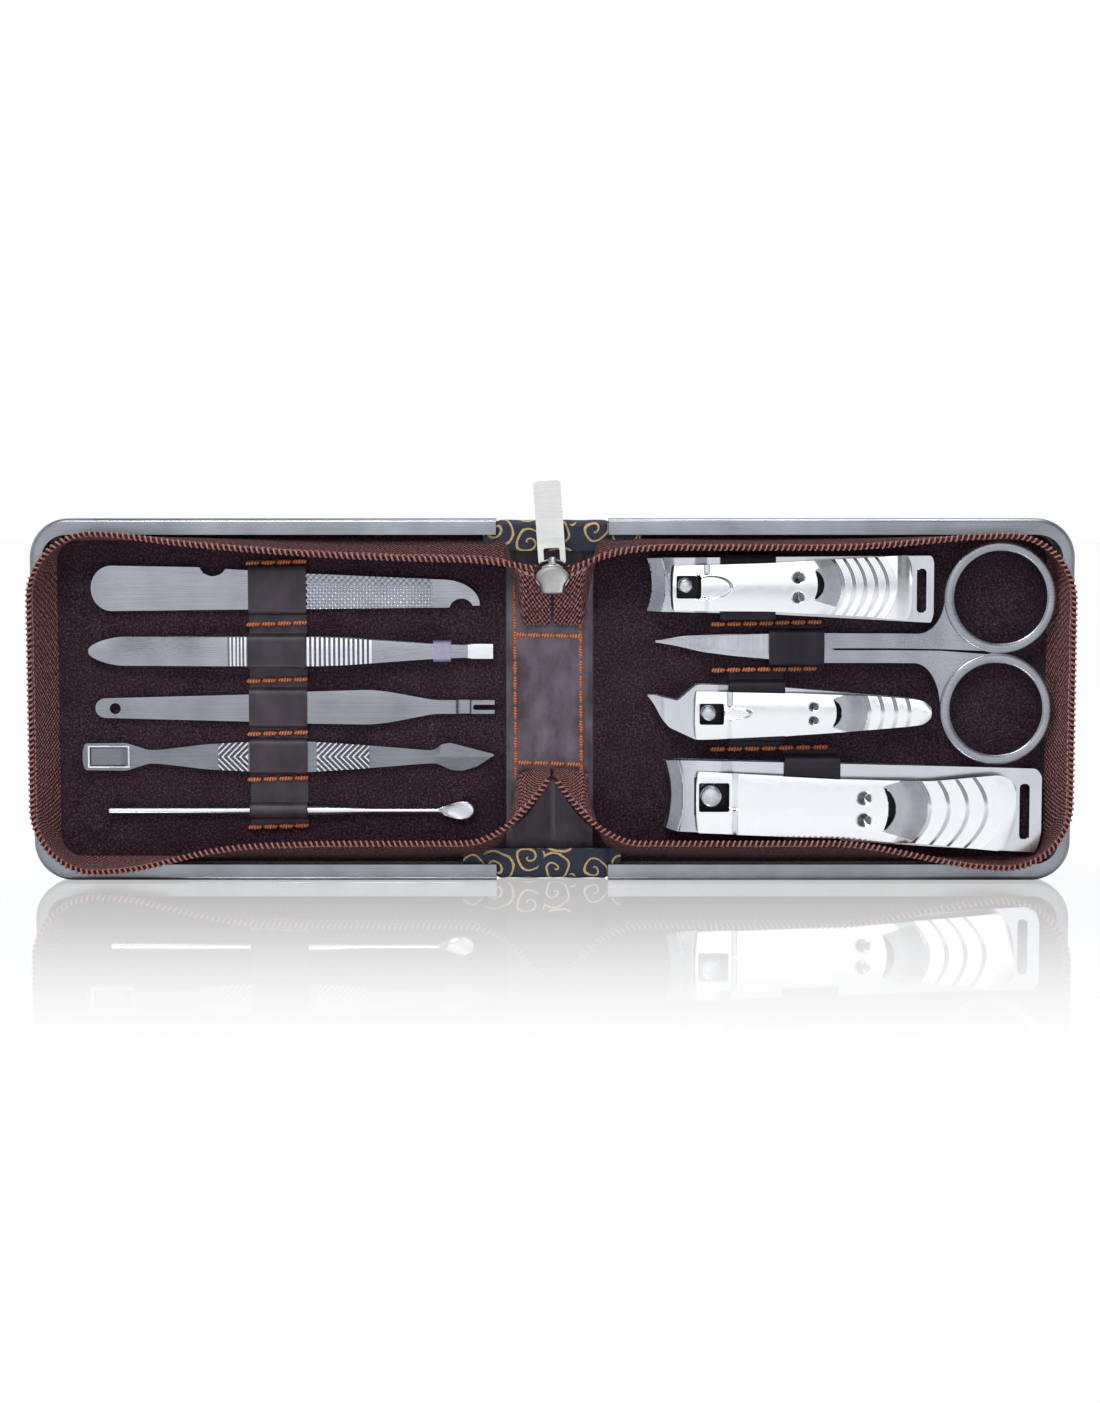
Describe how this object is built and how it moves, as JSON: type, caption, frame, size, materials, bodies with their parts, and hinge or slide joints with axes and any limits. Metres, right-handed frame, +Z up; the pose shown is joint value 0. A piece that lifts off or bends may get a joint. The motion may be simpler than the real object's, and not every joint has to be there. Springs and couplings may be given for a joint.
{
  "type": "manicure set case",
  "caption": "Hinged two-half case with steel covers, cloth spine and zip, holding grooming tools in sewn loops; shown open on its long edge.",
  "frame": {"origin": "middle of the open case's footprint, on the surface that it stands on", "axes": "+X along the open case to the viewer's right, +Y from the open side to the steel backs, +Z up"},
  "size_m": [0.2264, 0.0144, 0.0872],
  "materials": {
    "steel_cover": "brushed along the length",
    "grey_board": "plain grey board",
    "velour_lining": "short velour pile, dark plum brown",
    "brocade": "woven navy with gold scrolls",
    "soft_sheet": "smooth coated sheet, soft sheen",
    "zip_tape": "woven tape, reddish brown",
    "nylon_coil": "nylon monofilament coil",
    "nickel": "polished nickel plate",
    "clear_plastic": "clear sleeve",
    "polished_steel": "polished",
    "pin_steel": "turned steel",
    "satin_steel": "satin ground steel"
  },
  "bodies": {
    "spine": {"spine_fabric": "brocade", "spine_board": "grey_board", "spine_lining": "soft_sheet", "spine_gusset_top": "brocade", "spine_gusset_bottom": "brocade", "spine_tape_top": "zip_tape", "spine_tape_bottom": "zip_tape", "zip_end_tab": "soft_sheet"},
    "left_half": {"left_cover": "steel_cover", "left_board": "grey_board", "left_lining": "velour_lining", "left_tape": "zip_tape", "left_coil": "nylon_coil", "left_loop_band": "soft_sheet"},
    "right_half": {"right_cover": "steel_cover", "right_board": "grey_board", "right_lining": "velour_lining", "right_tape": "zip_tape", "right_coil": "nylon_coil", "small_loop": "soft_sheet", "scissors_loop": "soft_sheet", "cuticle_loop": "soft_sheet", "large_loop": "soft_sheet"},
    "slider": {"zip_slider": "nickel"},
    "pull": {"zip_pull": "nickel"},
    "file": {"nail_file": "satin_steel"},
    "tweezers": {"tweezers_back_arm": "satin_steel"},
    "tweezers_front": {"tweezers_front_arm": "satin_steel"},
    "guard": {"tweezers_guard": "clear_plastic"},
    "trimmer": {"cuticle_trimmer": "satin_steel"},
    "pusher": {"cuticle_pusher": "satin_steel"},
    "pick": {"ear_pick": "satin_steel"},
    "small_clipper": {"small_lower_jaw": "satin_steel", "small_rivet": "pin_steel"},
    "small_jaw": {"small_upper_jaw": "satin_steel"},
    "small_swivel": {"small_post": "pin_steel"},
    "small_lever_arm": {"small_lever": "polished_steel"},
    "cuticle_clipper": {"cuticle_lower_jaw": "satin_steel", "cuticle_rivet": "pin_steel"},
    "cuticle_jaw": {"cuticle_upper_jaw": "satin_steel"},
    "cuticle_swivel": {"cuticle_post": "pin_steel"},
    "cuticle_lever_arm": {"cuticle_lever": "polished_steel"},
    "large_clipper": {"large_lower_jaw": "satin_steel", "large_rivet": "pin_steel"},
    "large_jaw": {"large_upper_jaw": "satin_steel"},
    "large_swivel": {"large_post": "pin_steel"},
    "large_lever_arm": {"large_lever": "polished_steel"},
    "scissors": {"scissors_back_blade": "satin_steel", "scissors_screw": "pin_steel"},
    "scissors_front": {"scissors_front_blade": "satin_steel"}
  },
  "joints": [
    {"name": "left_fold", "type": "hinge", "parent": "spine", "child": "left_half", "pos_m": [-0.012, 0.0048, 0], "axis": [0, 0, -1], "range_deg": [-90, 0], "deforming": ["spine_gusset_top", "spine_gusset_bottom", "spine_tape_top", "spine_tape_bottom", "zip_end_tab"]},
    {"name": "right_fold", "type": "hinge", "parent": "spine", "child": "right_half", "pos_m": [0.012, 0.0048, 0], "axis": [0, 0, 1], "range_deg": [-90, 0]},
    {"name": "slider_travel", "type": "slide", "parent": "spine", "child": "slider", "axis": [0, -0.601, 0.7992], "range_m": [-0.0035, 0]},
    {"name": "pull_swing", "type": "hinge", "parent": "slider", "child": "pull", "pos_m": [0, -0.00296, 0.06943], "axis": [1, 0, 0], "range_deg": [-14, 38]},
    {"name": "file_slide", "type": "slide", "parent": "left_half", "child": "file", "axis": [1, 0, 0], "range_m": [-0.006, 0.01]},
    {"name": "tweezers_slide", "type": "slide", "parent": "left_half", "child": "tweezers", "axis": [1, 0, 0], "range_m": [-0.006, 0.01]},
    {"name": "trimmer_slide", "type": "slide", "parent": "left_half", "child": "trimmer", "axis": [1, 0, 0], "range_m": [-0.006, 0.01]},
    {"name": "pusher_slide", "type": "slide", "parent": "left_half", "child": "pusher", "axis": [1, 0, 0], "range_m": [-0.004, 0.01]},
    {"name": "pick_slide", "type": "slide", "parent": "left_half", "child": "pick", "axis": [1, 0, 0], "range_m": [-0.008, 0.01]},
    {"name": "guard_slide", "type": "slide", "parent": "tweezers", "child": "guard", "axis": [1, 0, 0], "range_m": [0, 0.006]},
    {"name": "small_slide", "type": "slide", "parent": "right_half", "child": "small_clipper", "axis": [-1, 0, 0], "range_m": [-0.0015, 0.012]},
    {"name": "cuticle_slide", "type": "slide", "parent": "right_half", "child": "cuticle_clipper", "axis": [-1, 0, 0], "range_m": [0, 0.012]},
    {"name": "large_slide", "type": "slide", "parent": "right_half", "child": "large_clipper", "axis": [-1, 0, 0], "range_m": [0, 0.013]},
    {"name": "scissors_slide", "type": "slide", "parent": "right_half", "child": "scissors", "axis": [-1, 0, 0], "range_m": [0, 0.011]},
    {"name": "tweezers_squeeze", "type": "hinge", "parent": "tweezers", "child": "tweezers_front", "pos_m": [-0.0991, 0.0026, 0.0501], "axis": [0, 0, 1], "range_deg": [0, 0.4], "stiffness_Nm_per_rad": 0.05},
    {"name": "scissors_open", "type": "hinge", "parent": "scissors", "child": "scissors_front", "pos_m": [0.0535, 0.00285, 0.0508], "axis": [0, 1, 0], "range_deg": [0, 2.2]},
    {"name": "small_squeeze", "type": "hinge", "parent": "small_clipper", "child": "small_jaw", "pos_m": [0.0745, 0.0024, 0.0646], "axis": [0, 0, -1], "range_deg": [0, 1.2], "stiffness_Nm_per_rad": 0.1},
    {"name": "small_lever_turn", "type": "hinge", "parent": "small_clipper", "child": "small_swivel", "pos_m": [0.0287, -0.0005, 0.0646], "axis": [0, 1, 0], "range_deg": [0, 15]},
    {"name": "small_lever_lift", "type": "hinge", "parent": "small_swivel", "child": "small_lever_arm", "pos_m": [0.026, -0.0009, 0.0646], "axis": [0, 0, -1], "range_deg": [0, 25]},
    {"name": "cuticle_squeeze", "type": "hinge", "parent": "cuticle_clipper", "child": "cuticle_jaw", "pos_m": [0.0742, 0.0024, 0.037], "axis": [0, 0, -1], "range_deg": [0, 1.2], "stiffness_Nm_per_rad": 0.1},
    {"name": "cuticle_lever_turn", "type": "hinge", "parent": "cuticle_clipper", "child": "cuticle_swivel", "pos_m": [0.0338, -0.0008, 0.037], "axis": [0, 1, 0], "range_deg": [-8, 10]},
    {"name": "cuticle_lever_lift", "type": "hinge", "parent": "cuticle_swivel", "child": "cuticle_lever_arm", "pos_m": [0.0309, -0.0012, 0.037], "axis": [0, 0, -1], "range_deg": [0, 25]},
    {"name": "large_squeeze", "type": "hinge", "parent": "large_clipper", "child": "large_jaw", "pos_m": [0.097, 0.0021, 0.0189], "axis": [0, 0, -1], "range_deg": [0, 1], "stiffness_Nm_per_rad": 0.1},
    {"name": "large_lever_turn", "type": "hinge", "parent": "large_clipper", "child": "large_swivel", "pos_m": [0.0344, -0.0019, 0.0189], "axis": [0, 1, 0], "range_deg": [-8, 0]},
    {"name": "large_lever_lift", "type": "hinge", "parent": "large_swivel", "child": "large_lever_arm", "pos_m": [0.0312, -0.0023, 0.0189], "axis": [0, 0, -1], "range_deg": [0, 25]}
  ]
}
